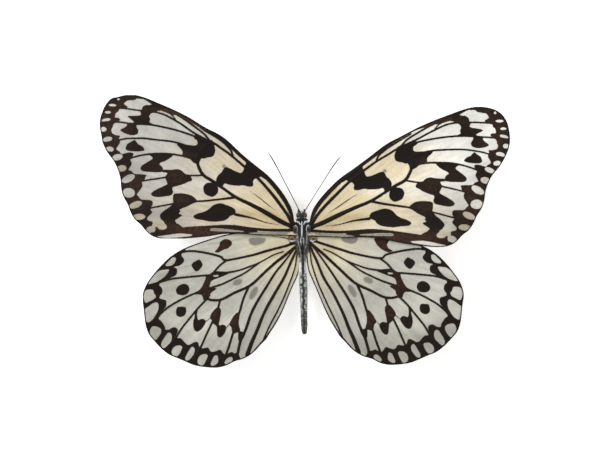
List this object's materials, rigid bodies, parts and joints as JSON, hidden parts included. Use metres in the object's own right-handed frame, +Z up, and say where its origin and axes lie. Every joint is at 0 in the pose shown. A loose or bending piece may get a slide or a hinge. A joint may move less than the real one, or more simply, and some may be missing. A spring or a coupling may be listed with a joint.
{
  "type": "paper kite butterfly",
  "caption": "Still life-size butterfly standing on its legs with broad patterned wings spread flat, thin clubbed feelers and a long slim abdomen.",
  "frame": {"origin": "on the floor, under the middle of the spread wings", "axes": "+X towards the insect's right wings, +Y the way the head points, +Z up off the back"},
  "size_m": [0.1299, 0.0865, 0.0154],
  "materials": {
    "wing": "scaled membrane, cream at the base and pale grey outwards, with black-brown veins, bands and spots",
    "body": "black horny shell with grey-white scales and hair",
    "abdomen": "grey-white scaled sides with a dark line along the back",
    "eye": "glossy dark brown facets",
    "leg": "black, slightly glossy",
    "tongue": "dark brown, smooth"
  },
  "bodies": {
    "root": {"thorax": "body", "head": "body", "abdomen": "abdomen", "proboscis": "tongue", "eye_left": "eye", "eye_right": "eye", "antenna_left": "leg", "antenna_right": "leg", "palp_left": "body", "palp_right": "body", "tegula_left": "body", "tegula_right": "body", "foreleg_left": "leg", "foreleg_right": "leg", "midleg_left": "leg", "midleg_right": "leg", "hindleg_left": "leg", "hindleg_right": "leg", "forewing_left": "wing", "forewing_right": "wing", "hindwing_left": "wing", "hindwing_right": "wing"}
  },
  "joints": []
}
